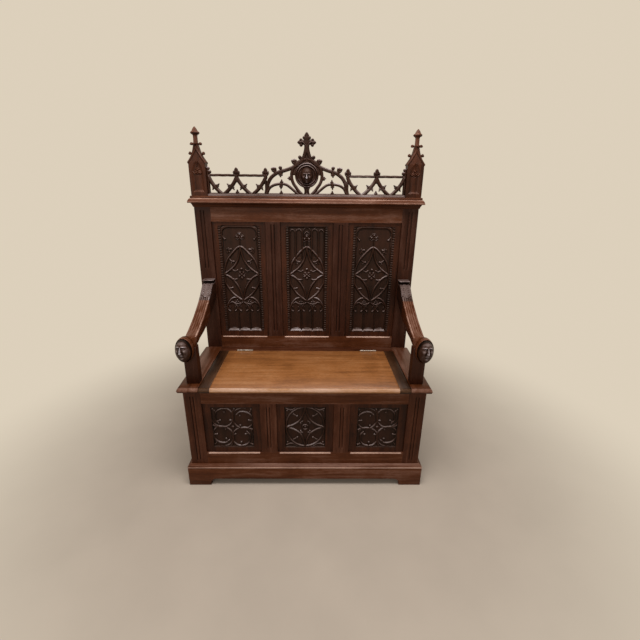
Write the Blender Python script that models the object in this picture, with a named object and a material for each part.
"""A Gothic Revival oak chest bench: a framed chest with a hinged seat lid, carved arms,
a panelled back, and an openwork crest between two pinnacles.

Metres, +Z up. The pieces are laid out from the front face of the chest (y = 0), the floor
(z = 0) and the bench's centre line (x = 0). The parent empty then moves the whole bench so
that its origin is under the middle of its bounding box. The lid hangs from its own empty,
which lies on the hinge axis.
"""

import math

import bmesh
import bpy
from mathutils import Matrix, Vector
from mathutils.geometry import delaunay_2d_cdt

# Fits
FIT = 0.0003
LID_SEAM = 0.0015
LID_SIDE_SEAM = 0.003

# Chest carcase
CARCASE_WIDTH = 1.122
CHEST_DEPTH = 0.4305
STILE_WIDTH = 0.080
MUNTIN_WIDTH = 0.080
FRONT_THICKNESS = 0.030
SIDE_THICKNESS = 0.028
BACK_THICKNESS = 0.032
FRONT_TOP_RAIL = 0.0675
RAIL_LIFT = 0.060
BOTTOM_RAIL = 0.124
CHEST_BOTTOM_LIFT = 0.100
CHEST_BOTTOM_THICKNESS = 0.014

# Plinth
PLINTH_FRONT = 0.019
PLINTH_SIDE = 0.018
PLINTH_HEIGHT = 0.111
PLINTH_CHAMFER = 0.010
PLINTH_LIP = 0.003
FOOT_WIDTH = 0.108
FOOT_HEIGHT = 0.038
FOOT_STEP = 0.034

# Joinery
PANEL_THICKNESS = 0.012
FRONT_PANEL_SETBACK = 0.009
SIDE_PANEL_SETBACK = 0.009
BACK_PANEL_SETBACK = 0.010
PANEL_TONGUE = 0.008
TENON_LENGTH = 0.025
TENON_THICKNESS = 0.010
TENON_HAUNCH = 0.010
SIDE_TENON_LENGTH = 0.016

# Carving of the back panels. The outlines are the right half of each form, as shares of the
# sunk field's half width and height.
CARVING_MARGIN = 0.042
CARVING_FOOT = 0.033
CARVING_HEAD = 0.025
CARVING_DEPTH = 0.006
CARVING_RIB = 0.010
CARVING_MULLION = 0.005
NICHE_FOOT = 0.009
NICHE_GAP = 0.0055
NICHES = 3
POINTED_OVAL = (
    (0.0, 0.820), (0.174, 0.806), (0.413, 0.767), (0.69, 0.714), (0.87, 0.660), (1.0, 0.560),
    (0.957, 0.481), (0.837, 0.437), (0.60, 0.380), (0.28, 0.330), (0.0, 0.302),
)
STAR_TOP = ((0.0, 0.810), (0.07, 0.753), (0.19, 0.686), (0.435, 0.631), (0.71, 0.592), (1.0, 0.560))
STAR_BOTTOM = ((1.0, 0.560), (0.65, 0.529), (0.413, 0.487), (0.196, 0.427), (0.076, 0.369), (0.0, 0.310))
FIELD_FOOT = ((0.0, 0.307), (0.24, 0.326), (0.47, 0.332), (0.69, 0.314), (0.87, 0.280), (1.0, 0.250))
FIELD_CROWN = ((1.0, 0.944), (0.93, 0.975), (0.72, 0.990), (0.50, 0.995), (0.0, 0.996))
SQUARE_CROWN = ((1.0, 0.975), (0.0, 0.975))
CENTRE_MULLIONS = ((0.25, 0.790), (0.636, 0.725))

# Seat
SEAT_TOP = 0.5555
SEAT_THICKNESS = 0.025
SEAT_OVERHANG = 0.026
SEAT_SIDE_OVERHANG = 0.017
LID_DEPTH = 0.405
CLEAT_WIDTH = 0.049
CLEAT_TONGUE = 0.014
CLEAT_TONGUE_INSET = 0.040
NOSE_ROUND = 0.010

# Hinges
HINGE_INSET = 0.04575
HINGE_LENGTH = 0.085
LEAF_THICKNESS = 0.0025
NECK_INSET = 0.0002
LEAF_HEIGHT = 0.020
BARREL_RADIUS = 0.0045
BARREL_LIFT = 0.002
PIN_RADIUS = 0.0020
PIN_CLEARANCE = 0.0003
PIN_CAP_RADIUS = 0.0036
PIN_CAP_LENGTH = 0.0015
KNUCKLES = 5

# Back
BACK_HEIGHT = 1.336
BACK_TOP_RAIL = 0.090
BACK_SILL_RISE = 0.0665
BACK_RAIL_DROP = 0.0555

# Cornice and crest rail
CORNICE_PROJECTION = 0.0395
CORNICE_RETURN = 0.018
CORNICE_THICKNESS = 0.033
CORNICE_NOSE = 0.007
CORNICE_FILLET = 0.021
CORNICE_FILLET_SETBACK = 0.017
BED_HEIGHT = 0.020
BED_PROJECTION = 0.014
BED_FILLET = 0.003
BED_SWELL = 0.004
FILLET_ROUND = 0.004
CREST_RAIL_HEIGHT = 0.010
CREST_RAIL_DEPTH = 0.028
CREST_RAIL_CHAMFER = 0.005
CREST_RAIL_STEP = 0.004

# Pinnacles
PINNACLE_WIDTH = 0.079
PINNACLE_DEPTH = 0.044
PINNACLE_INSET = 0.002
PINNACLE_EAVES = 0.146
PINNACLE_APEX = 0.207
PINNACLE_COLLAR = 0.236
PINNACLE_KNOB = 0.2845
PINNACLE_TIP = 0.305
COLLAR_WIDTH = 0.056
KNOB_WIDTH = 0.044
LANCET_WIDTH = 0.042
LANCET_DEPTH = 0.006
LANCET_SILL = 0.014
LANCET_SPRING = 0.092
LANCET_POINT = 1.7
EAVE_LIP = 0.004
SPIRE_FOOT_HALF = 0.012
SPIRE_HALF = 0.010
SPIRE_TOP_HALF = 0.009
TIP_HALF = 0.002
GABLE_SAG = 0.009
CROCKET_REACH = 0.034
CROCKET_HEIGHT = 0.190
CROCKET_RADIUS = 0.0085
CROCKET_STALK = 0.007
PEG_SIZE = 0.020
PEG_LENGTH = 0.016

# Crest tracery
TRACERY_THICKNESS = 0.017
TRACERY_FOOT = 0.004
GABLE_HALF = 0.2005
TRACERY_BAYS = 2
APEX_RISE = 0.073
BAR = 0.0145
THIN_BAR = 0.0115
FINIAL_RISE = 0.121
FINIAL_STEM = 0.009
ROD_RADIUS = 0.0055
ROD_RISE = 0.085
ROD_SOCKET = 0.010
GABLE_RISE = 0.202
GABLE_NECK_HALF = 0.007
OGEE_HOLLOW = 0.013
OGEE_SHOULDER = 0.034
OGEE_TURN_X = 0.072
OGEE_TURN_RISE = 0.123
CROSS_RISE = 0.276
CROSS_ARM_RISE = 0.233
CROSS_ARM_HALF = 0.043
RING_RADIUS = 0.074
RING_RISE = 0.085
MEDALLION_RADIUS = 0.052
MEDALLION_RISE = 0.093
MEDALLION_STEM = 0.016
WEB_HALF = 0.030
CROSS_STEM = 0.016
CROSS_LOBE = 0.014
CUSP_WIDTH = 0.014
CUSP_LENGTH = 0.016
LEAF_REACH = 0.013
SWAG_SAG = 0.006
BUD_RADIUS = 0.0085
SIDE_LEAF_RADIUS = 0.006
SIDE_LEAF_REACH = 0.0105
SIDE_LEAF_DROP = 0.0235
# Where the crockets stand on the gable: out from the middle, above the crest rail, and radius
GABLE_CROCKETS = (
    (0.160, 0.115, 0.012),
    (0.059, 0.150, 0.012),
    (0.125, 0.128, 0.008),
    (0.032, 0.173, 0.008),
)
ARCH_CROWN_X = 0.124
ARCH_CROWN_RISE = 0.051
ARCH_FOOT_X = 0.036
CRESTING_HEAD_HALF = (0.0305, 0.028, 0.036)

# Arms
POST_WIDTH = 0.060
POST_DEPTH = 0.040
POST_FRONT = 0.022
POST_HEIGHT = 0.1825
ARM_INSET = 0.046
ARM_WIDTH = 0.054
ARM_RISE = 0.216
ARM_CAP_HEIGHT = 0.018
ARM_CAP_DEPTH = 0.042
ARM_CAP_OVERHANG = 0.001
HEAD_OUT = 0.0145
HEAD_FRONT = 0.055
HEAD_HALF = (0.0355, 0.046, 0.0545)
HEAD_RISE = -0.004
HOOD_WALL = 0.004
HOOD_SIDES = 20
ARM_CAP_MOULD = 0.010
ARM_CAP_ROUND = 0.003
ARM_NECK_SETBACK = 0.012
ARM_ELBOW_REACH = 0.174
ARM_ELBOW_RISE = 0.105
ARM_FRONT_RISE = 0.034
ARM_TOP_SAG = 0.008
ARM_LEVEL_SAG = 0.005
ARM_HEEL_REACH = 0.040
ARM_HEEL_RISE = 0.010
ARM_ROOT_DROP = 0.075
ARM_BELLY_SAG = 0.026
ARM_TENON_HEIGHT = 0.060

# Derived places
SEAT_UNDER = SEAT_TOP - SEAT_THICKNESS
CARCASE_HALF = CARCASE_WIDTH / 2
STILE_INNER = CARCASE_HALF - STILE_WIDTH
OPENING_WIDTH = (2 * STILE_INNER - 2 * MUNTIN_WIDTH) / 3
MUNTIN_INNER = OPENING_WIDTH / 2
MUNTIN_OUTER = MUNTIN_INNER + MUNTIN_WIDTH
BOTTOM_RAIL_TOP = RAIL_LIFT + BOTTOM_RAIL
SEAT_HALF = CARCASE_HALF + SEAT_SIDE_OVERHANG
LID_HALF = STILE_INNER - LID_SIDE_SEAM / 2
SEAT_END_INNER = STILE_INNER + LID_SIDE_SEAM / 2
LID_BOARD_HALF = LID_HALF - CLEAT_WIDTH
HINGE_CENTRE = LID_BOARD_HALF - HINGE_INSET - HINGE_LENGTH / 2
BACK_PANEL_BOTTOM = SEAT_TOP + BACK_SILL_RISE
BACK_PANEL_TOP = BACK_HEIGHT - BACK_TOP_RAIL
BACK_RAIL_BOTTOM = SEAT_TOP - BACK_RAIL_DROP
ARM_CENTRE = CARCASE_HALF - ARM_INSET
POST_TOP = SEAT_TOP + POST_HEIGHT
ARM_CAP_TOP = POST_TOP + ARM_RISE
HEAD_CENTRE_Z = POST_TOP + HEAD_RISE
BACK_REAR = CHEST_DEPTH + BACK_THICKNESS
LID_REAR = LID_DEPTH - SEAT_OVERHANG
HINGE_Y = LID_REAR + LID_SEAM / 2
HINGE_Z = SEAT_TOP + BARREL_LIFT
CREST_FLOOR = BACK_HEIGHT + CORNICE_THICKNESS
CREST_BASE = CREST_FLOOR + CREST_RAIL_HEIGHT
TRACERY_MIDDLE = CHEST_DEPTH + CREST_RAIL_DEPTH / 2 - CREST_RAIL_STEP
PINNACLE_OUTER = CARCASE_HALF + PINNACLE_INSET
PINNACLE_INNER = PINNACLE_OUTER - PINNACLE_WIDTH
PINNACLE_CENTRE = PINNACLE_OUTER - PINNACLE_WIDTH / 2
MIDDLE_DEPTH = (BACK_REAR - HEAD_FRONT) / 2


def clear_scene():
    for item in list(bpy.data.objects):
        bpy.data.objects.remove(item, do_unlink=True)


def make_finish(name, color, roughness, metallic=0.0):
    finish = bpy.data.materials.new(name)
    finish.use_nodes = True
    shader = finish.node_tree.nodes["Principled BSDF"]
    shader.inputs["Base Color"].default_value = (*color, 1.0)
    shader.inputs["Roughness"].default_value = roughness
    shader.inputs["Metallic"].default_value = metallic
    return finish


def add_empty(name, location, parent=None):
    empty = bpy.data.objects.new(name, None)
    empty.location = location
    empty.parent = parent
    bpy.context.scene.collection.objects.link(empty)
    return empty


def add_piece(name, mesh, finish, parent, anchor=Vector((0, 0, 0)), smooth=False):
    """A named piece whose mesh is laid out in the bench's own frame. Its origin goes to its
    middle, or onto its parent where the parent is a joint, whose place anchor gives."""
    corners = [v.co for v in mesh.vertices]
    middle = sum(corners, Vector()) / len(corners)
    origin = anchor if anchor.length else middle
    mesh.transform(Matrix.Translation(-origin))
    mesh.materials.clear()
    mesh.materials.append(finish)
    if smooth:
        mesh.shade_smooth()
        mesh.set_sharp_from_angle(angle=math.radians(35))
    piece = bpy.data.objects.new(name, mesh)
    piece.location = origin - anchor
    piece.parent = parent
    bpy.context.scene.collection.objects.link(piece)
    return piece


def finished(bm, name):
    bmesh.ops.recalc_face_normals(bm, faces=bm.faces)
    mesh = bpy.data.meshes.new(name)
    bm.to_mesh(mesh)
    bm.free()
    return mesh


def grow(box, by):
    low, high = box
    return tuple(c - by for c in low), tuple(c + by for c in high)


def mirrored(box, side):
    """The same box on the bench's left (side -1) or right (side 1)."""
    (x0, y0, z0), (x1, y1, z1) = box
    if side > 0:
        return box
    return (-x1, y0, z0), (-x0, y1, z1)


def block(box, rounded=(), width=0.0, steps=2):
    """A box, with the edges that run along the picked pairs of sides rounded. A side is an
    axis letter and a sign, such as "y-"."""
    low, high = Vector(box[0]), Vector(box[1])
    bm = bmesh.new()
    bmesh.ops.create_cube(bm, size=1.0)
    middle = (low + high) / 2
    for vertex in bm.verts:
        vertex.co = middle + Vector(vertex.co[i] * (high[i] - low[i]) for i in range(3))
    picked = []
    for pair in rounded:
        for edge in bm.edges:
            if all(on_side(edge, side, low, high) for side in pair):
                picked.append(edge)
    if picked:
        bmesh.ops.bevel(bm, geom=picked, offset=width, segments=steps, profile=0.5, affect="EDGES")
    return finished(bm, "block")


def on_side(edge, side, low, high):
    axis = "xyz".index(side[0])
    level = high[axis] if side[1] == "+" else low[axis]
    return all(abs(v.co[axis] - level) < FIT / 3 for v in edge.verts)


def placed(point, axis, level):
    """A point of an outline, laid across the named axis at a level along it."""
    a, b = point
    if axis == "x":
        return level, a, b
    if axis == "y":
        return a, level, b
    return a, b, level


def prism(outline, axis, start, end):
    bm = bmesh.new()
    rings = [[bm.verts.new(placed(p, axis, level)) for p in outline] for level in (start, end)]
    for ring in rings:
        bm.faces.new(ring)
    count = len(outline)
    for i in range(count):
        j = (i + 1) % count
        bm.faces.new((rings[0][i], rings[0][j], rings[1][j], rings[1][i]))
    return finished(bm, "prism")


def hull(points):
    bm = bmesh.new()
    corners = [bm.verts.new(p) for p in points]
    bmesh.ops.convex_hull(bm, input=corners)
    return finished(bm, "hull")


def loft(rings):
    """A closed solid through rings of equal length, with its two ends filled."""
    bm = bmesh.new()
    rows = [[bm.verts.new(p) for p in ring] for ring in rings]
    count = len(rows[0])
    for low, high in zip(rows, rows[1:]):
        for i in range(count):
            j = (i + 1) % count
            bm.faces.new((low[i], low[j], high[j], high[i]))
    bm.faces.new(rows[0])
    bm.faces.new(rows[-1])
    return finished(bm, "loft")


def rod(axis_point, radius, start, end, sides=14):
    """A round bar along x."""
    _, y, z = axis_point
    ring = [turn(i, sides) for i in range(sides)]
    outline = [(y + radius * c, z + radius * s) for c, s in ring]
    return prism(outline, "x", start, end)


def turn(step, steps):
    angle = 2 * math.pi * step / steps
    return math.cos(angle), math.sin(angle)


def boolean(mesh, tool_meshes, operation):
    """The mesh with every tool mesh joined to it, cut from it or crossed with it."""
    if not tool_meshes:
        return mesh
    body = bpy.data.objects.new("body", mesh)
    bpy.context.scene.collection.objects.link(body)
    tools = []
    for tool_mesh in tool_meshes:
        tool = bpy.data.objects.new("tool", tool_mesh)
        bpy.context.scene.collection.objects.link(tool)
        step = body.modifiers.new("step", "BOOLEAN")
        step.operation = operation
        step.solver = "EXACT"
        step.object = tool
        tools.append(tool)
    depsgraph = bpy.context.evaluated_depsgraph_get()
    result = bpy.data.meshes.new_from_object(body.evaluated_get(depsgraph))
    for item in [body, *tools]:
        bpy.data.objects.remove(item, do_unlink=True)
    return result


def joined(mesh, *others):
    return boolean(mesh, list(others), "UNION")


def cut(mesh, *others):
    return boolean(mesh, list(others), "DIFFERENCE")


def housed(mesh, boxes):
    """The mesh with a fitting recess cut for each box."""
    return cut(mesh, *[block(grow(box, FIT)) for box in boxes])


def bowed(start, end, bulge, steps=8):
    """Points of an arc from start to end. It bulges to the left of its direction by bulge."""
    a, b = Vector(start), Vector(end)
    chord = b - a
    if abs(bulge) < FIT:
        return [tuple(a), tuple(b)]
    radius = (chord.length ** 2 / 4 + bulge ** 2) / (2 * bulge)
    left = Vector((-chord.y, chord.x)).normalized()
    centre = (a + b) / 2 + left * (bulge - radius)
    first = math.atan2(a.y - centre.y, a.x - centre.x)
    half = math.asin(max(-1.0, min(1.0, chord.length / 2 / radius)))
    points = []
    for i in range(steps + 1):
        angle = first - 2 * half * i / steps
        points.append((centre.x + abs(radius) * math.cos(angle), centre.y + abs(radius) * math.sin(angle)))
    return points


def band(points, width):
    """The outline of a bar of even width that follows the points."""
    path = [Vector(p) for p in points]
    left, right = [], []
    for i, point in enumerate(path):
        before = path[max(i - 1, 0)]
        after = path[min(i + 1, len(path) - 1)]
        along = (after - before).normalized()
        across = Vector((-along.y, along.x)) * width / 2
        left.append(tuple(point + across))
        right.append(tuple(point - across))
    return left + right[::-1]


def disc(centre, radius, sides=10):
    x, z = centre
    return [(x + radius * turn(i, sides)[0], z + radius * turn(i, sides)[1]) for i in range(sides)]


def flipped(outline):
    return [(-x, z) for x, z in outline]


def counterclockwise(outline):
    area = 0.0
    for (x0, z0), (x1, z1) in zip(outline, outline[1:] + outline[:1]):
        area += x0 * z1 - x1 * z0
    return outline if area > 0 else outline[::-1]


def slab(outlines, front, back):
    """One flat openwork slab from overlapping outlines, between two depths."""
    points, loops = [], []
    for outline in outlines:
        ring = counterclockwise(outline)
        loops.append(list(range(len(points), len(points) + len(ring))))
        points.extend(Vector(p) for p in ring)
    verts, _, faces, _, _, sources = delaunay_2d_cdt(points, [], loops, 0, 1e-6)
    bm = bmesh.new()
    flat = [bm.verts.new((p.x, front, p.y)) for p in verts]
    for face, source in zip(faces, sources):
        if source:
            bm.faces.new([flat[i] for i in face])
    loose = [v for v in bm.verts if not v.link_faces]
    bmesh.ops.delete(bm, geom=loose, context="VERTS")
    grown = bmesh.ops.extrude_face_region(bm, geom=list(bm.faces))
    for item in grown["geom"]:
        if isinstance(item, bmesh.types.BMVert):
            item.co.y = back
    return finished(bm, "slab")


# Carved heads

NOSE_RELIEF = 0.18


def bump(value, middle, spread):
    return math.exp(-(((value - middle) / spread) ** 2))


def face_relief(across, up):
    """How far a calm, evenly proportioned face stands out of its egg-shaped block, as a share
    of the half depth. across and up run from -1 to 1 over the face."""
    eyes = bump(abs(across), 0.36, 0.17) * bump(up, 0.02, 0.12)
    brow = bump(abs(across), 0.34, 0.26) * bump(up, 0.20, 0.10)
    nose = bump(across, 0.0, 0.16 - 0.05 * up) * bump(up, -0.12, 0.24)
    mouth = bump(across, 0.0, 0.28) * bump(up, -0.52, 0.09)
    chin = bump(across, 0.0, 0.26) * bump(up, -0.80, 0.14)
    return 0.06 * brow - 0.13 * eyes + NOSE_RELIEF * nose + 0.06 * mouth + 0.07 * chin


def carved_head(centre, half, rows=18, columns=24):
    """An egg-shaped head that looks along -y."""
    rings = []
    for row in range(1, rows):
        tilt = math.pi * row / rows
        up = math.cos(tilt)
        narrow = 1.0 - 0.20 * max(0.0, -up)
        ring = []
        for column in range(columns):
            c, s = turn(column, columns)
            across = math.sin(tilt) * c * narrow
            front = max(0.0, -s) * math.sin(tilt)
            depth = math.sin(tilt) * s
            if front > 0.2:
                depth -= face_relief(across, up) * min(1.0, (front - 0.2) / 0.3)
            ring.append((centre[0] + half[0] * across, centre[1] + half[1] * depth, centre[2] + half[2] * up))
        rings.append(ring)
    return loft(rings)


# Chest

def rail_tenon(box, axis, end, inset=TENON_HAUNCH, length=TENON_LENGTH):
    """The tenon at one end (-1 or 1) of a rail or muntin, along its axis, in the middle of
    its thickness. The thickness is the rail's smallest side."""
    low, high = list(box[0]), list(box[1])
    size = [high[i] - low[i] for i in range(3)]
    thin = size.index(min(size))
    tall = 3 - axis - thin
    tip_low, tip_high = list(low), list(high)
    middle = (low[thin] + high[thin]) / 2
    tip_low[thin] = middle - TENON_THICKNESS / 2
    tip_high[thin] = middle + TENON_THICKNESS / 2
    tip_low[tall] = low[tall] + inset
    tip_high[tall] = high[tall] - inset
    if end > 0:
        tip_low[axis] = high[axis] - inset
        tip_high[axis] = high[axis] + length
    else:
        tip_low[axis] = low[axis] - length
        tip_high[axis] = low[axis] + inset
    return tuple(tip_low), tuple(tip_high)


def both_tenons(box, axis, length=TENON_LENGTH):
    return [rail_tenon(box, axis, end, length=length) for end in (-1, 1)]


def with_tenons(box, tenons):
    return joined(block(box), *[block(t) for t in tenons])


def panel_box(x0, x1, z0, z1, face, setback):
    """A panel whose tongues fill the grooves round an opening."""
    y0 = face + setback
    low = (x0 - PANEL_TONGUE, y0, z0 - PANEL_TONGUE)
    high = (x1 + PANEL_TONGUE, y0 + PANEL_THICKNESS, z1 + PANEL_TONGUE)
    return low, high


def openings():
    """The three openings of the chest's front and of the back, by name."""
    return {
        "left": (-STILE_INNER, -MUNTIN_OUTER),
        "centre": (-MUNTIN_INNER, MUNTIN_INNER),
        "right": (MUNTIN_OUTER, STILE_INNER),
    }


def rail_box(half, y0, y1, z0, z1):
    return (-half, y0, z0), (half, y1, z1)


def side_name(side):
    return "left" if side < 0 else "right"


class Layout:
    """The boxes that neighbouring pieces share, so that each joint is cut from one value."""

    front_top = rail_box(STILE_INNER - FIT, 0, FRONT_THICKNESS, SEAT_UNDER - FRONT_TOP_RAIL, SEAT_UNDER - FIT)
    front_bottom = rail_box(STILE_INNER - FIT, 0, FRONT_THICKNESS, RAIL_LIFT, BOTTOM_RAIL_TOP)
    back_top = rail_box(STILE_INNER - FIT, CHEST_DEPTH, BACK_REAR, BACK_PANEL_TOP, BACK_HEIGHT - FIT)
    back_middle = rail_box(STILE_INNER - FIT, CHEST_DEPTH, BACK_REAR, BACK_RAIL_BOTTOM, BACK_PANEL_BOTTOM)
    back_bottom = rail_box(STILE_INNER - FIT, CHEST_DEPTH, BACK_REAR, RAIL_LIFT, BOTTOM_RAIL_TOP)
    side_top = (
        (CARCASE_HALF - SIDE_THICKNESS, FRONT_THICKNESS + FIT, SEAT_UNDER - FRONT_TOP_RAIL),
        (CARCASE_HALF, CHEST_DEPTH - FIT, SEAT_UNDER - FIT),
    )
    side_bottom = (
        (CARCASE_HALF - SIDE_THICKNESS, FRONT_THICKNESS + FIT, RAIL_LIFT),
        (CARCASE_HALF, CHEST_DEPTH - FIT, BOTTOM_RAIL_TOP),
    )
    side_panel = (
        (
            CARCASE_HALF - SIDE_PANEL_SETBACK - PANEL_THICKNESS,
            FRONT_THICKNESS - PANEL_TONGUE,
            BOTTOM_RAIL_TOP - PANEL_TONGUE,
        ),
        (
            CARCASE_HALF - SIDE_PANEL_SETBACK,
            CHEST_DEPTH + PANEL_TONGUE,
            SEAT_UNDER - FRONT_TOP_RAIL + PANEL_TONGUE,
        ),
    )
    chest_bottom = (
        (
            SIDE_THICKNESS - PANEL_TONGUE - CARCASE_HALF,
            FRONT_THICKNESS - PANEL_TONGUE,
            CHEST_BOTTOM_LIFT,
        ),
        (
            CARCASE_HALF - SIDE_THICKNESS + PANEL_TONGUE,
            CHEST_DEPTH + PANEL_TONGUE,
            CHEST_BOTTOM_LIFT + CHEST_BOTTOM_THICKNESS,
        ),
    )
    chest_back = panel_box(
        -STILE_INNER, STILE_INNER, BOTTOM_RAIL_TOP, BACK_RAIL_BOTTOM, CHEST_DEPTH, BACK_PANEL_SETBACK
    )
    front_stile = ((STILE_INNER, 0, 0), (CARCASE_HALF, FRONT_THICKNESS, SEAT_UNDER - FIT))
    back_stile = ((STILE_INNER, CHEST_DEPTH, 0), (CARCASE_HALF, BACK_REAR, BACK_HEIGHT - FIT))
    front_panels = {
        name: panel_box(x0, x1, BOTTOM_RAIL_TOP, SEAT_UNDER - FRONT_TOP_RAIL, 0, FRONT_PANEL_SETBACK)
        for name, (x0, x1) in openings().items()
    }
    back_panels = {
        name: panel_box(x0, x1, BACK_PANEL_BOTTOM, BACK_PANEL_TOP, CHEST_DEPTH, BACK_PANEL_SETBACK)
        for name, (x0, x1) in openings().items()
    }
    front_muntin = (
        (MUNTIN_INNER, 0, BOTTOM_RAIL_TOP + FIT),
        (MUNTIN_OUTER, FRONT_THICKNESS, SEAT_UNDER - FRONT_TOP_RAIL - FIT),
    )
    back_muntin = (
        (MUNTIN_INNER, CHEST_DEPTH, BACK_PANEL_BOTTOM + FIT),
        (MUNTIN_OUTER, BACK_REAR, BACK_PANEL_TOP - FIT),
    )
    post = (
        (ARM_CENTRE - POST_WIDTH / 2, POST_FRONT, SEAT_TOP + FIT),
        (ARM_CENTRE + POST_WIDTH / 2, POST_FRONT + POST_DEPTH, POST_TOP - FIT),
    )
    arm_tenon = (
        (ARM_CENTRE - TENON_THICKNESS, CHEST_DEPTH - TENON_LENGTH, ARM_CAP_TOP - ARM_ROOT_DROP),
        (
            ARM_CENTRE + TENON_THICKNESS,
            CHEST_DEPTH + SIDE_TENON_LENGTH,
            ARM_CAP_TOP - ARM_ROOT_DROP + ARM_TENON_HEIGHT,
        ),
    )
    peg = (
        (
            PINNACLE_CENTRE - PEG_SIZE / 2,
            BACK_REAR - PINNACLE_DEPTH / 2 - PEG_SIZE / 2,
            CREST_FLOOR - PEG_LENGTH,
        ),
        (
            PINNACLE_CENTRE + PEG_SIZE / 2,
            BACK_REAR - PINNACLE_DEPTH / 2 + PEG_SIZE / 2,
            CREST_FLOOR + PEG_LENGTH,
        ),
    )


def post_tenons():
    """The post's tenons: down into the seat and up into the arm."""
    low, high = Layout.post
    middle_y = POST_FRONT + POST_DEPTH / 2
    half = TENON_THICKNESS
    down = (
        (ARM_CENTRE - half, middle_y - half, SEAT_TOP - SEAT_THICKNESS / 2),
        (ARM_CENTRE + half, middle_y + half, low[2] + half),
    )
    up = (
        (ARM_CENTRE - half, middle_y - half, high[2] - half),
        (ARM_CENTRE + half, middle_y + half, POST_TOP + SIDE_TENON_LENGTH),
    )
    return down, up


def build_front(bench, frame_oak, panel_oak):
    lay = Layout
    muntins = {side: mirrored(lay.front_muntin, side) for side in (-1, 1)}
    muntin_tenons = {side: both_tenons(box, 2, SIDE_TENON_LENGTH) for side, box in muntins.items()}
    panels = list(lay.front_panels.values())
    sockets = panels + [t for pair in muntin_tenons.values() for t in pair]
    for name, box in (("front_top_rail", lay.front_top), ("front_bottom_rail", lay.front_bottom)):
        mesh = housed(with_tenons(box, both_tenons(box, 0)), sockets + [lay.chest_bottom])
        add_piece(name, mesh, frame_oak, bench)
    for side, box in muntins.items():
        mesh = housed(with_tenons(box, muntin_tenons[side]), panels)
        add_piece(f"front_muntin_{side_name(side)}", mesh, frame_oak, bench)
    for name, box in lay.front_panels.items():
        add_piece(f"front_panel_{name}", block(box), panel_oak, bench)


def build_stiles(bench, frame_oak):
    lay = Layout
    for side in (-1, 1):
        side_rails = [mirrored(box, side) for box in (lay.side_top, lay.side_bottom)]
        across = [t for box in side_rails for t in both_tenons(box, 1, SIDE_TENON_LENGTH)]
        shared = across + [mirrored(lay.side_panel, side)]
        front = [t for box in (lay.front_top, lay.front_bottom) for t in both_tenons(box, 0)]
        boxes = front + shared + list(lay.front_panels.values())
        mesh = housed(block(mirrored(lay.front_stile, side)), boxes)
        add_piece(f"front_stile_{side_name(side)}", mesh, frame_oak, bench)
        rails = (lay.back_top, lay.back_middle, lay.back_bottom)
        back = [t for box in rails for t in both_tenons(box, 0)]
        boxes = back + shared + list(lay.back_panels.values())
        boxes += [lay.chest_back, mirrored(lay.arm_tenon, side)]
        mesh = housed(block(mirrored(lay.back_stile, side)), boxes)
        add_piece(f"back_stile_{side_name(side)}", mesh, frame_oak, bench)


def build_sides(bench, frame_oak):
    lay = Layout
    for side in (-1, 1):
        label = side_name(side)
        panel = mirrored(lay.side_panel, side)
        for name, box in (("side_top_rail", lay.side_top), ("side_bottom_rail", lay.side_bottom)):
            own = mirrored(box, side)
            mesh = housed(with_tenons(own, both_tenons(own, 1, SIDE_TENON_LENGTH)), [panel, lay.chest_bottom])
            add_piece(f"{name}_{label}", mesh, frame_oak, bench)
        add_piece(f"side_panel_{label}", block(panel), frame_oak, bench)


def build_chest_floor(bench, frame_oak):
    stiles = [mirrored(box, side) for box in (Layout.front_stile, Layout.back_stile) for side in (-1, 1)]
    board = housed(block(Layout.chest_bottom), stiles)
    add_piece("chest_bottom", board, frame_oak, bench)


def carved_panel(box, middle):
    """A back panel with a sunk field, in which the pointed oval and the hollow-sided star
    stand over three niches. The middle panel has mullions over the oval."""
    (x0, face, _), (x1, _, _) = box
    centre = (x0 + x1) / 2
    half = (x1 - x0) / 2 - PANEL_TONGUE - CARVING_MARGIN
    low, high = BACK_PANEL_BOTTOM + CARVING_FOOT, BACK_PANEL_TOP - CARVING_HEAD

    def laid(shares, side=1):
        return [(centre + side * x * half, low + z * (high - low)) for x, z in shares]

    crown = SQUARE_CROWN if middle else FIELD_CROWN
    edge = FIELD_FOOT + crown
    field = laid(edge) + laid(edge[-2:0:-1], -1)
    ribs = []
    for side in (-1, 1):
        for shares in (POINTED_OVAL[:6], POINTED_OVAL[5:], STAR_TOP, STAR_BOTTOM):
            ribs.append(band(laid(shares, side), CARVING_RIB))
        ribs.append(disc(laid([STAR_BOTTOM[0]], side)[0], CARVING_RIB * 0.6))
        if middle:
            for x, z in CENTRE_MULLIONS:
                ribs.append(band(laid([(x, z), (x, 1.0)], side), CARVING_MULLION))
    for shares in (STAR_TOP[0], STAR_BOTTOM[-1]):
        ribs.append(disc(laid([shares])[0], CARVING_RIB * 0.6))
    bay = 2 * half / NICHES
    niche = (bay - NICHE_GAP) / 2
    spring = laid(FIELD_FOOT)[0][1] - CARVING_RIB - LANCET_POINT * niche
    arch = lancet(niche, low + NICHE_FOOT, spring)
    steps = [i - (NICHES - 1) / 2 for i in range(NICHES)]
    niches = [[(centre + x + i * bay, z) for x, z in arch] for i in steps]
    floor = face + CARVING_DEPTH
    standing = slab(ribs, face - 2 * CARVING_DEPTH, floor + CARVING_DEPTH)
    sunk = cut(slab([field], face - CARVING_DEPTH, floor), standing)
    return cut(block(box), sunk, slab(niches, face - CARVING_DEPTH, floor))


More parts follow.
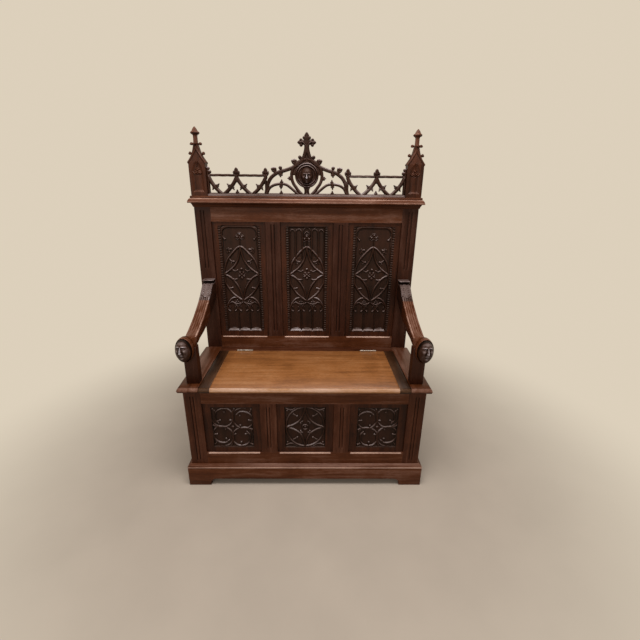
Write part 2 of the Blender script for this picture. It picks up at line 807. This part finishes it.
def build_back(bench, frame_oak, panel_oak):
    lay = Layout
    muntins = {side: mirrored(lay.back_muntin, side) for side in (-1, 1)}
    muntin_tenons = {side: both_tenons(box, 2, SIDE_TENON_LENGTH) for side, box in muntins.items()}
    panels = list(lay.back_panels.values())
    sockets = panels + [t for pair in muntin_tenons.values() for t in pair]
    rails = (
        ("back_top_rail", lay.back_top),
        ("back_middle_rail", lay.back_middle),
        ("back_bottom_rail", lay.back_bottom),
    )
    for name, box in rails:
        mesh = with_tenons(box, both_tenons(box, 0))
        mesh = housed(mesh, sockets + [lay.chest_back, lay.chest_bottom])
        add_piece(name, mesh, frame_oak, bench)
    for side, box in muntins.items():
        mesh = housed(with_tenons(box, muntin_tenons[side]), panels)
        add_piece(f"back_muntin_{side_name(side)}", mesh, frame_oak, bench)
    for name, box in lay.back_panels.items():
        add_piece(f"back_panel_{name}", carved_panel(box, name == "centre"), panel_oak, bench)
    add_piece("chest_back_board", block(lay.chest_back), frame_oak, bench)


def plinth_hull(box, chamfered):
    """A plinth board whose top slopes back to the carcase on the picked sides."""
    low, high = box
    top_low, top_high = list(low), list(high)
    for side, run in chamfered:
        axis = "xyz".index(side[0])
        if side[1] == "-":
            top_low[axis] += run
        else:
            top_high[axis] -= run
    points = []
    levels = (
        (low[2], low, high),
        (PLINTH_HEIGHT, low, high),
        (PLINTH_HEIGHT + PLINTH_CHAMFER, top_low, top_high),
    )
    for z, a, b in levels:
        points += [(x, y, z) for x in (a[0], b[0]) for y in (a[1], b[1])]
    return hull(points)


def foot_cut(start, end):
    """The outline between two bracket feet, with a rounded step at each foot."""
    outline = [(start, -FIT)]
    outline += bowed((start, FOOT_HEIGHT / 2), (start + FOOT_STEP, FOOT_HEIGHT), FOOT_HEIGHT / 6, 4)
    outline += [(start + end - x, z) for x, z in outline[:0:-1]]
    outline += [(end, -FIT)]
    return outline


def build_plinth(bench, frame_oak):
    half = CARCASE_HALF + PLINTH_SIDE
    front_run = PLINTH_FRONT - PLINTH_LIP
    side_run = PLINTH_SIDE - PLINTH_LIP
    box = ((-half, -PLINTH_FRONT, 0), (half, -FIT, PLINTH_HEIGHT))
    mesh = plinth_hull(box, (("y-", front_run), ("x-", side_run), ("x+", side_run)))
    gap = prism(foot_cut(FOOT_WIDTH - half, half - FOOT_WIDTH), "y", -2 * PLINTH_FRONT, PLINTH_FRONT)
    add_piece("plinth_front", cut(mesh, gap), frame_oak, bench)
    for side in (-1, 1):
        box = mirrored(((CARCASE_HALF + FIT, 0, 0), (half, BACK_REAR, PLINTH_HEIGHT)), side)
        outward = "x-" if side < 0 else "x+"
        mesh = plinth_hull(box, ((outward, side_run),))
        outline = foot_cut(FOOT_WIDTH, BACK_REAR - FOOT_WIDTH)
        gap = prism(outline, "x", side * (CARCASE_HALF - PLINTH_SIDE), side * (half + PLINTH_SIDE))
        add_piece(f"plinth_{side_name(side)}", cut(mesh, gap), frame_oak, bench)


# Seat

def hinge_centres():
    return {-1: -HINGE_CENTRE, 1: HINGE_CENTRE}


def hinge_recess(centre, side):
    """What a hinge takes out of the board on one side of it: -1 the lid, 1 the rear rail."""
    half = HINGE_LENGTH / 2 + PIN_CAP_LENGTH + FIT
    leaf = LEAF_THICKNESS + 2 * FIT
    room = BARREL_RADIUS + 2 * FIT
    leaf_y = sorted((HINGE_Y, HINGE_Y + side * leaf))
    barrel_y = sorted((HINGE_Y, HINGE_Y + side * room))
    plate = (
        (centre - half, leaf_y[0], HINGE_Z - LEAF_HEIGHT - 2 * FIT),
        (centre + half, leaf_y[1], SEAT_TOP + BARREL_RADIUS),
    )
    barrel = (
        (centre - half, barrel_y[0], HINGE_Z - room),
        (centre + half, barrel_y[1], SEAT_TOP + BARREL_RADIUS),
    )
    return [block(plate), block(barrel)]


def hinge_leaf(centre, side):
    """One leaf with its knuckles. The rear rail's leaf has the outer ones."""
    pitch = HINGE_LENGTH / KNUCKLES
    own = range(0, KNUCKLES, 2) if side > 0 else range(1, KNUCKLES, 2)
    start = centre - HINGE_LENGTH / 2
    y = sorted((HINGE_Y + side * FIT, HINGE_Y + side * (FIT + LEAF_THICKNESS)))
    plate_top = HINGE_Z - BARREL_RADIUS - 2 * FIT
    mesh = block(((start, y[0], HINGE_Z - LEAF_HEIGHT), (start + HINGE_LENGTH, y[1], plate_top)))
    parts = []
    for i in own:
        x0 = start + i * pitch + (FIT if i else 0)
        x1 = start + (i + 1) * pitch - (FIT if i < KNUCKLES - 1 else 0)
        parts.append(rod((0, HINGE_Y, HINGE_Z), BARREL_RADIUS, x0, x1))
        neck_low = (x0 + NECK_INSET, y[0] + NECK_INSET, plate_top - LEAF_THICKNESS)
        neck_high = (x1 - NECK_INSET, y[1] - NECK_INSET, HINGE_Z + NECK_INSET)
        parts.append(block((neck_low, neck_high)))
    mesh = joined(mesh, *parts)
    bore = rod((0, HINGE_Y, HINGE_Z), PIN_RADIUS + PIN_CLEARANCE, start - FIT, start + HINGE_LENGTH + FIT)
    return cut(mesh, bore)


def hinge_pin(centre):
    half = HINGE_LENGTH / 2 + FIT
    axis = (0, HINGE_Y, HINGE_Z)
    mesh = rod(axis, PIN_RADIUS, centre - half - PIN_CAP_LENGTH / 2, centre + half + PIN_CAP_LENGTH / 2)
    caps = [
        rod(axis, PIN_CAP_RADIUS, centre - half - PIN_CAP_LENGTH, centre - half),
        rod(axis, PIN_CAP_RADIUS, centre + half, centre + half + PIN_CAP_LENGTH),
    ]
    return joined(mesh, *caps)


def build_seat(bench, lid, seat_oak, cleat_oak, frame_oak, iron):
    under = SEAT_UNDER
    hinge = Vector((0, HINGE_Y, HINGE_Z))
    down, _ = post_tenons()
    for side in (-1, 1):
        box = mirrored(
            ((SEAT_END_INNER, -SEAT_OVERHANG, under), (SEAT_HALF, CHEST_DEPTH - FIT, SEAT_TOP)),
            side,
        )
        outward = "x-" if side < 0 else "x+"
        pairs = (("y-", "z+"), ("y-", "z-"), (outward, "z+"), (outward, "z-"))
        mesh = housed(block(box, pairs, NOSE_ROUND), [mirrored(down, side)])
        add_piece(f"seat_end_{side_name(side)}", mesh, frame_oak, bench)

    recess = [part for c in hinge_centres().values() for part in hinge_recess(c, 1)]
    rail_half = SEAT_END_INNER - FIT
    rail = block(((-rail_half, LID_REAR + LID_SEAM, under), (rail_half, CHEST_DEPTH - FIT, SEAT_TOP)))
    add_piece("seat_rear_rail", cut(rail, *recess), frame_oak, bench)

    nose = (("y-", "z+"), ("y-", "z-"))
    lid_box = ((-LID_BOARD_HALF, -SEAT_OVERHANG, under), (LID_BOARD_HALF, LID_REAR, SEAT_TOP))
    board = block(lid_box, nose, NOSE_ROUND)
    tongues = [cleat_tongue(side) for side in (-1, 1)]
    board = joined(board, *[block(t) for t in tongues])
    recess = [part for c in hinge_centres().values() for part in hinge_recess(c, -1)]
    add_piece("lid_board", cut(board, *recess), seat_oak, lid, hinge)
    for side in (-1, 1):
        box = mirrored(((LID_BOARD_HALF + FIT, -SEAT_OVERHANG, under), (LID_HALF, LID_REAR, SEAT_TOP)), side)
        mesh = housed(block(box, nose, NOSE_ROUND), tongues)
        add_piece(f"lid_cleat_{side_name(side)}", mesh, cleat_oak, lid, hinge)

    for side, centre in hinge_centres().items():
        label = side_name(side)
        add_piece(f"hinge_rail_leaf_{label}", hinge_leaf(centre, 1), iron, bench, smooth=True)
        add_piece(f"hinge_lid_leaf_{label}", hinge_leaf(centre, -1), iron, lid, hinge, smooth=True)
        add_piece(f"hinge_pin_{label}", hinge_pin(centre), iron, bench, smooth=True)


def cleat_tongue(side):
    middle = SEAT_TOP - SEAT_THICKNESS / 2
    return mirrored(
        (
            (LID_BOARD_HALF - CLEAT_TONGUE, CLEAT_TONGUE_INSET - SEAT_OVERHANG, middle - TENON_THICKNESS / 2),
            (LID_BOARD_HALF + CLEAT_TONGUE, LID_REAR - CLEAT_TONGUE_INSET, middle + TENON_THICKNESS / 2),
        ),
        side,
    )


# Arms

def arm_outline():
    """The arm from the side, as (y, z). It sweeps down from the cap at the back stile and
    levels out over the post."""
    wall = CHEST_DEPTH - FIT
    cap_front = wall - ARM_CAP_DEPTH
    cap_under = ARM_CAP_TOP - ARM_CAP_HEIGHT
    post_rear = POST_FRONT + POST_DEPTH
    level = POST_TOP + FIT
    outline = [(wall, ARM_CAP_TOP), (cap_front, ARM_CAP_TOP), (cap_front, cap_under)]
    elbow = (post_rear + ARM_ELBOW_REACH, level + ARM_ELBOW_RISE)
    front = (post_rear - HOOD_WALL, level + ARM_FRONT_RISE)
    heel = (post_rear + ARM_HEEL_REACH, level + ARM_HEEL_RISE)
    root = (wall, cap_under - ARM_ROOT_DROP)
    outline += bowed((cap_front - ARM_NECK_SETBACK, cap_under), elbow, ARM_TOP_SAG, 6)
    outline += bowed(elbow, front, ARM_LEVEL_SAG, 5)[1:]
    outline += [(POST_FRONT, front[1] + HOOD_WALL), (POST_FRONT, level), (post_rear + HOOD_WALL, level)]
    outline += bowed(heel, root, -ARM_BELLY_SAG, 8)
    return outline


def hood_rings(centre_x, side):
    """The flare from the arm's section to the round hood behind the head. Each ring has a
    depth, a half width, a half height, a middle height and a squareness."""
    arm_half = ARM_WIDTH / 2 - FIT
    hood_x = HEAD_HALF[0] + HOOD_WALL
    hood_z = HEAD_HALF[2] + HOOD_WALL
    post_rear = POST_FRONT + POST_DEPTH
    arm_middle = POST_TOP + ARM_FRONT_RISE / 2
    lip = POST_FRONT - 3.5 * HOOD_WALL
    throat = POST_FRONT + 3 * HOOD_WALL
    spans = (
        (post_rear + HEAD_HALF[2], arm_half, ARM_FRONT_RISE / 2, arm_middle + 2 * HOOD_WALL, 0.62),
        (post_rear, arm_half + HOOD_WALL / 2, hood_z / 2, arm_middle + HOOD_WALL, 0.8),
        (throat, hood_x - HOOD_WALL / 2, hood_z - 2 * HOOD_WALL, HEAD_CENTRE_Z + HOOD_WALL, 1.0),
        (lip, hood_x, hood_z, HEAD_CENTRE_Z, 1.0),
        (lip - 2.5 * HOOD_WALL, hood_x - HOOD_WALL / 2, hood_z - HOOD_WALL / 2, HEAD_CENTRE_Z, 1.0),
    )
    rings = []
    for i, (y, half_x, half_z, z, power) in enumerate(spans):
        middle_x = centre_x + side * HEAD_OUT * min(1.0, i / 3)
        ring = []
        for c, s in (turn(k, HOOD_SIDES) for k in range(HOOD_SIDES)):
            out = half_x * math.copysign(abs(c) ** power, c)
            up = half_z * math.copysign(abs(s) ** power, s)
            ring.append((middle_x + out, y, z + up))
        rings.append(ring)
    return rings


def build_arms(bench, frame_oak):
    low, high = Layout.post
    down, up = post_tenons()
    for side in (-1, 1):
        label = side_name(side)
        post = with_tenons(mirrored(Layout.post, side), [mirrored(down, side), mirrored(up, side)])
        add_piece(f"arm_post_{label}", post, frame_oak, bench)

        centre = side * ARM_CENTRE
        arm = prism(arm_outline(), "x", centre - ARM_WIDTH / 2, centre + ARM_WIDTH / 2)
        wall = CHEST_DEPTH - FIT
        half = ARM_WIDTH / 2 + ARM_CAP_OVERHANG
        cap_front = wall - ARM_CAP_DEPTH - ARM_CAP_OVERHANG
        cap_low = (centre - half, cap_front, ARM_CAP_TOP - ARM_CAP_MOULD)
        cap_box = (cap_low, (centre + half, wall, ARM_CAP_TOP))
        cap = block(cap_box, (("y-", "z+"),), ARM_CAP_ROUND)
        hood = loft(hood_rings(centre, side))
        head_y = HEAD_HALF[1] * (1.0 + NOSE_RELIEF) - HEAD_FRONT
        head = carved_head((centre + side * HEAD_OUT, head_y, HEAD_CENTRE_Z), HEAD_HALF)
        mesh = joined(arm, cap, block(mirrored(Layout.arm_tenon, side)), hood, head)
        post_room = (
            (low[0] - HEAD_HALF[0], low[1], low[2]),
            (high[0] + HEAD_HALF[0], high[1] + ARM_WIDTH, POST_TOP),
        )
        mesh = housed(mesh, [mirrored(post_room, side), mirrored(up, side)])
        add_piece(f"arm_{label}", mesh, frame_oak, bench, smooth=True)


# Cornice and crest

def bed_profile():
    """The bed mould under the cornice, as (how far out, height)."""
    low = BACK_HEIGHT - BED_HEIGHT
    lip = (BED_PROJECTION, BACK_HEIGHT - BED_FILLET)
    return [(0, low), (0, BACK_HEIGHT), (BED_PROJECTION, BACK_HEIGHT)] + bowed(
        lip, (BED_FILLET, low), BED_SWELL, 5
    )


def build_cornice(bench, frame_oak):
    half = CARCASE_HALF + CORNICE_RETURN
    front = CHEST_DEPTH - CORNICE_PROJECTION
    rings = (
        (0.0, 0.0, FIT),
        (0.0, 0.0, CORNICE_NOSE),
        (CORNICE_FILLET_SETBACK, CORNICE_FILLET_SETBACK * 0.6, CORNICE_FILLET),
        (CORNICE_FILLET_SETBACK, CORNICE_FILLET_SETBACK * 0.6, CORNICE_THICKNESS - CORNICE_NOSE / 2),
        (CORNICE_FILLET_SETBACK + FILLET_ROUND, CORNICE_FILLET_SETBACK * 0.8, CORNICE_THICKNESS),
    )
    sections = []
    for front_in, side_in, rise in rings:
        x, y, z = half - side_in, front + front_in, BACK_HEIGHT + rise
        sections.append([(-x, y, z), (x, y, z), (x, BACK_REAR, z), (-x, BACK_REAR, z)])
    cap = housed(loft(sections), [mirrored(Layout.peg, side) for side in (-1, 1)])
    add_piece("cornice_cap", cap, frame_oak, bench)

    front_profile = [(CHEST_DEPTH - FIT - out, z) for out, z in bed_profile()]
    bed = prism(front_profile, "x", -CARCASE_HALF, CARCASE_HALF)
    add_piece("cornice_bed_front", bed, frame_oak, bench)
    for side in (-1, 1):
        side_profile = [(side * (CARCASE_HALF + FIT + out), z) for out, z in bed_profile()]
        bed = prism(side_profile, "y", CHEST_DEPTH, BACK_REAR)
        add_piece(f"cornice_bed_{side_name(side)}", bed, frame_oak, bench)

    rail_y = TRACERY_MIDDLE - CREST_RAIL_DEPTH / 2
    rail = block(
        (
            (FIT - PINNACLE_INNER, rail_y, CREST_FLOOR + FIT),
            (PINNACLE_INNER - FIT, rail_y + CREST_RAIL_DEPTH, CREST_BASE - FIT),
        ),
        (("y-", "z+"), ("y+", "z+")),
        CREST_RAIL_CHAMFER,
        1,
    )
    add_piece("crest_rail", rail, frame_oak, bench)


def pinnacle_front():
    """The outlines of a pinnacle from the front, round x = 0 and above its foot."""
    wall = PINNACLE_WIDTH / 2
    eave = wall + EAVE_LIP
    side = [(wall, 0.0), (wall, PINNACLE_EAVES - EAVE_LIP), (eave, PINNACLE_EAVES)]
    side += bowed((eave, PINNACLE_EAVES + EAVE_LIP), (SPIRE_FOOT_HALF, PINNACLE_APEX), GABLE_SAG, 5)
    side += spire_profile(COLLAR_WIDTH / 2, KNOB_WIDTH / 2)
    outlines = [side + flipped(side)[::-1]]
    for sign in (-1, 1):
        ball = (sign * CROCKET_REACH, CROCKET_HEIGHT)
        root = (sign * SPIRE_HALF, CROCKET_HEIGHT - SPIRE_FOOT_HALF)
        outlines.append(disc(ball, CROCKET_RADIUS))
        outlines.append(band([root, ball], CROCKET_STALK))
    return outlines


def spire_profile(collar, knob):
    """Half the spire from its foot to its tip: a stem, a collar, a neck and a knob."""
    return [
        (SPIRE_HALF, PINNACLE_COLLAR - SPIRE_FOOT_HALF),
        (collar, PINNACLE_COLLAR - SPIRE_FOOT_HALF / 2),
        (collar, PINNACLE_COLLAR + EAVE_LIP),
        (SPIRE_HALF, PINNACLE_COLLAR + SPIRE_HALF),
        (SPIRE_TOP_HALF, PINNACLE_KNOB - KNOB_WIDTH / 3),
        (knob * 0.8, PINNACLE_KNOB - KNOB_WIDTH / 6),
        (knob, PINNACLE_KNOB),
        (knob * 0.6, PINNACLE_KNOB + KNOB_WIDTH / 6),
        (SPIRE_TOP_HALF * 0.7, PINNACLE_TIP - EAVE_LIP),
        (TIP_HALF, PINNACLE_TIP),
    ]


def pinnacle_side():
    """The same from the side, where the spire is as slim as its collar."""
    half = PINNACLE_DEPTH / 2
    shape = [(half, 0.0), (half, PINNACLE_EAVES + EAVE_LIP), (half * 0.62, PINNACLE_APEX - SPIRE_FOOT_HALF)]
    shape += spire_profile(half * 0.9, KNOB_WIDTH * 0.45)
    return shape + flipped(shape)[::-1]


def lancet(half, foot, spring):
    """A pointed arch above a foot, as an outline round x = 0."""
    rise = half * LANCET_POINT
    right = [(half, foot)] + bowed((half, spring), (0.0, spring + rise), -half * 0.28, 5)
    return right + [(-x, z) for x, z in right[-2::-1]]


def build_pinnacles(bench, frame_oak, rods):
    foot = CREST_FLOOR + FIT
    for side in (-1, 1):
        centre = side * PINNACLE_CENTRE
        front_y, rear_y = BACK_REAR - PINNACLE_DEPTH, BACK_REAR
        outlines = [[(centre + x, foot + z) for x, z in outline] for outline in pinnacle_front()]
        mesh = slab(outlines, front_y - SPIRE_HALF, rear_y + SPIRE_HALF)
        middle = (front_y + rear_y) / 2
        across = [(middle + y, foot + z) for y, z in pinnacle_side()]
        reach = PINNACLE_WIDTH
        mesh = boolean(mesh, [prism(across, "x", centre - reach, centre + reach)], "INTERSECT")
        blind = [(centre + x, foot + z) for x, z in lancet(LANCET_WIDTH / 2, LANCET_SILL, LANCET_SPRING)]
        recess = prism(blind, "y", front_y - LANCET_DEPTH, front_y + LANCET_DEPTH)
        mesh = joined(mesh, block(mirrored(Layout.peg, side)))
        mesh = cut(mesh, recess, rods[side])
        add_piece(f"pinnacle_{side_name(side)}", mesh, frame_oak, bench)


def finial(x, foot, top):
    """A fleur on a stem: two leaves under a bud."""
    outlines = [
        band([(x, foot), (x, top - BUD_RADIUS)], FINIAL_STEM),
        disc((x, top - BUD_RADIUS), BUD_RADIUS * 0.9),
        disc((x, top - SIDE_LEAF_DROP), BUD_RADIUS * 1.1),
        cusp((x, top - BUD_RADIUS / 2), (x, top), SIDE_LEAF_RADIUS),
    ]
    for sign in (-1, 1):
        leaf = (x + sign * SIDE_LEAF_REACH, top - SIDE_LEAF_DROP)
        root = (x, top - 2 * SIDE_LEAF_DROP)
        outlines.append(disc(leaf, SIDE_LEAF_RADIUS))
        outlines.append(band([root, leaf], SIDE_LEAF_RADIUS))
    return outlines


def cusp(base, tip, width):
    """A pointed leaf from a bar."""
    a, b = Vector(base), Vector(tip)
    across = Vector((a.y - b.y, b.x - a.x)).normalized() * width / 2
    return [tuple(a - across), tuple(b), tuple(a + across)]


def bay_width():
    return (PINNACLE_INNER - FIT - GABLE_HALF) / TRACERY_BAYS


def swag(apex_x, low_x):
    """One bar from an apex down to the rail, with its leaf and its cusp."""
    step = 1 if low_x > apex_x else -1
    start = (apex_x, CREST_BASE + APEX_RISE)
    path = bowed(start, (low_x, CREST_BASE + TRACERY_FOOT), -step * SWAG_SAG, 6)
    x, z = path[3]
    return [
        band(path, BAR),
        cusp((x, z), (x + step * LEAF_REACH, z + LEAF_REACH), CUSP_LENGTH),
        cusp((x, z), (x - step * LEAF_REACH, z - CUSP_LENGTH), CUSP_WIDTH),
    ]


def foot_strip(start, end):
    """The low strip along the crest rail that a run of tracery stands on."""
    top = CREST_BASE + TRACERY_FOOT
    return [(start, CREST_BASE), (end, CREST_BASE), (end, top), (start, top)]


def tracery_outlines():
    """The right-hand run of tracery, between the gable and the pinnacle."""
    bay = bay_width()
    edge = PINNACLE_INNER - FIT
    start = GABLE_HALF + bay / 2
    outlines = [foot_strip(start, edge)]
    for i in range(TRACERY_BAYS):
        low_x = GABLE_HALF + bay * (i + 0.5)
        high_x = GABLE_HALF + bay * (i + 1)
        last = i == TRACERY_BAYS - 1
        outlines += swag(high_x - (BAR / 2 if last else 0), low_x)
        if i:
            outlines += swag(high_x - bay, low_x)
        if not last:
            outlines += finial(high_x, CREST_BASE + APEX_RISE - BAR, CREST_BASE + FINIAL_RISE)
            outlines.append(cusp((high_x, CREST_BASE), (high_x, CREST_BASE + 2 * THIN_BAR), THIN_BAR))
    tip = CREST_BASE + APEX_RISE + 2 * BAR
    inner = edge - BAR
    outlines.append([(inner, CREST_BASE), (edge, CREST_BASE), (edge, tip), (inner, tip - BAR)])
    return [held_within(outline, start, edge) for outline in outlines]


def held_within(outline, low, high):
    """An outline whose points are kept between two limits in x and above the crest rail."""
    return [(min(max(x, low), high), max(z, CREST_BASE)) for x, z in outline]


def wing_outlines():
    """The right half of the gable: the ogee, the ring, the small arch and their leaves."""
    base = CREST_BASE
    foot = base + TRACERY_FOOT
    turn_point = (OGEE_TURN_X, base + OGEE_TURN_RISE)
    spring = (GABLE_HALF, foot)
    upper = bowed((GABLE_NECK_HALF, base + GABLE_RISE), turn_point, -OGEE_HOLLOW, 6)
    lower = bowed(turn_point, spring, OGEE_SHOULDER, 10)
    crown_x, crown_z = crown = (ARCH_CROWN_X, base + ARCH_CROWN_RISE)
    hang_x, hang_z = lower[3]
    ring_z = base + RING_RISE
    sweep = [turn(i, 40) for i in range(-10, 11)]
    ring = [(RING_RADIUS * c, ring_z + RING_RADIUS * s) for c, s in sweep]
    outlines = [
        band(upper, BAR),
        band(lower, BAR),
        band(ring, THIN_BAR),
        band(bowed(crown, spring, CUSP_WIDTH, 6), THIN_BAR),
        band(bowed((ARCH_FOOT_X, foot), crown, SWAG_SAG, 6), THIN_BAR),
        cusp(crown, (crown_x, crown_z + 1.4 * CUSP_LENGTH), CUSP_WIDTH),
        cusp(crown, (crown_x, crown_z - CUSP_LENGTH), CUSP_WIDTH),
        cusp((crown_x, base), (crown_x, base + CUSP_WIDTH), THIN_BAR),
        cusp((hang_x, hang_z), (hang_x, hang_z - 1.4 * CUSP_LENGTH), CUSP_LENGTH),
        cusp((RING_RADIUS, ring_z), (RING_RADIUS + LEAF_REACH, ring_z), CUSP_LENGTH),
    ]
    for x, rise, radius in GABLE_CROCKETS:
        outlines.append(disc((x, base + rise), radius, 12))
        outlines.append(band([(x, base + rise), (x - BAR / 2, base + rise - BAR)], CROCKET_STALK))
    outlines += finial(GABLE_HALF, foot, base + FINIAL_RISE)
    reach = GABLE_HALF + bay_width() / 2 - FIT
    outlines += swag(GABLE_HALF, reach)
    return [held_within(outline, -reach, reach) for outline in outlines]


def cross_outlines():
    """The finial of the gable: a stem with three leafy lobes."""
    arm_z = CREST_BASE + CROSS_ARM_RISE
    tip_z = CREST_BASE + CROSS_RISE
    outlines = [
        band([(0, CREST_BASE + GABLE_RISE - 2 * CROSS_STEM), (0, tip_z - CROSS_STEM)], CROSS_STEM),
        disc((0, arm_z), CROSS_LOBE, 12),
        disc((0, tip_z - 1.5 * CROSS_LOBE), CROSS_LOBE, 12),
        cusp((0, tip_z - 1.5 * CROSS_LOBE), (0, tip_z), 1.8 * CROSS_LOBE),
    ]
    for sign in (-1, 1):
        lobe = (sign * (CROSS_ARM_HALF - 1.2 * CROSS_LOBE), arm_z)
        outlines.append(disc(lobe, 0.9 * CROSS_LOBE, 12))
        outlines.append(cusp(lobe, (sign * CROSS_ARM_HALF, arm_z), 1.7 * CROSS_LOBE))
        outlines.append(band([(0, arm_z - 0.9 * CROSS_LOBE), lobe], 0.9 * CROSS_LOBE))
    return outlines


def gable_outlines():
    base = CREST_BASE
    right = wing_outlines()
    reach = GABLE_HALF + bay_width() / 2 - FIT
    disc_z = base + MEDALLION_RISE
    web_low = disc_z + MEDALLION_RADIUS - BAR
    web_high = base + GABLE_RISE - CROSS_STEM
    web_tip = CROSS_STEM / 4
    outlines = right + [flipped(outline) for outline in right] + cross_outlines()
    outlines.append(foot_strip(-reach, reach))
    outlines.append(disc((0, disc_z), MEDALLION_RADIUS, 32))
    outlines.append(band([(0, base), (0, disc_z - MEDALLION_RADIUS / 2)], MEDALLION_STEM))
    outlines.append([(-WEB_HALF, web_low), (WEB_HALF, web_low), (web_tip, web_high), (-web_tip, web_high)])
    return outlines


def build_crest(bench, frame_oak):
    y0 = TRACERY_MIDDLE - TRACERY_THICKNESS / 2
    y1 = TRACERY_MIDDLE + TRACERY_THICKNESS / 2
    rod_z = CREST_BASE + ROD_RISE
    axis = (0, TRACERY_MIDDLE, rod_z)
    ends = (GABLE_HALF - FINIAL_STEM / 4, PINNACLE_INNER + ROD_SOCKET)
    sockets = {}
    for side in (-1, 1):
        span = sorted(side * x for x in ends)
        grown = (span[0] - FIT, span[1] + FIT)
        sockets[side] = rod(axis, ROD_RADIUS + FIT, *grown)
        add_piece(f"crest_rod_{side_name(side)}", rod(axis, ROD_RADIUS, *span), frame_oak, bench, smooth=True)
    for side in (-1, 1):
        outlines = tracery_outlines()
        if side < 0:
            outlines = [flipped(o) for o in outlines]
        mesh = cut(slab(outlines, y0, y1), sockets[side].copy())
        add_piece(f"crest_tracery_{side_name(side)}", mesh, frame_oak, bench)
    gable = cut(slab(gable_outlines(), y0, y1), *[mesh.copy() for mesh in sockets.values()])
    add_piece("crest_gable", gable, frame_oak, bench)
    build_pinnacles(bench, frame_oak, sockets)

    half = CRESTING_HEAD_HALF
    head = carved_head((0, y0, CREST_BASE + MEDALLION_RISE), half, 14, 20)
    behind_low = (-half[0] * 2, y0 - FIT, CREST_BASE)
    behind_high = (half[0] * 2, y1 + half[1], CREST_BASE + 2 * MEDALLION_RISE)
    behind = block((behind_low, behind_high))
    add_piece("medallion_head", cut(head, behind), frame_oak, bench, smooth=True)


def build_bench():
    frame_oak = make_finish("frame_oak", (0.062, 0.020, 0.011), 0.36)
    panel_oak = make_finish("panel_oak", (0.043, 0.018, 0.012), 0.38)
    seat_oak = make_finish("seat_oak", (0.190, 0.075, 0.024), 0.34)
    cleat_oak = make_finish("cleat_oak", (0.080, 0.032, 0.016), 0.36)
    iron = make_finish("hinge_iron", (0.200, 0.170, 0.140), 0.45, 1.0)
    bench = add_empty("bench", (0, -MIDDLE_DEPTH, 0))
    lid = add_empty("lid_hinge", (0, HINGE_Y, HINGE_Z), bench)
    build_front(bench, frame_oak, panel_oak)
    build_stiles(bench, frame_oak)
    build_sides(bench, frame_oak)
    build_chest_floor(bench, frame_oak)
    build_back(bench, frame_oak, panel_oak)
    build_plinth(bench, frame_oak)
    build_seat(bench, lid, seat_oak, cleat_oak, frame_oak, iron)
    build_arms(bench, frame_oak)
    build_cornice(bench, frame_oak)
    build_crest(bench, frame_oak)


clear_scene()
build_bench()
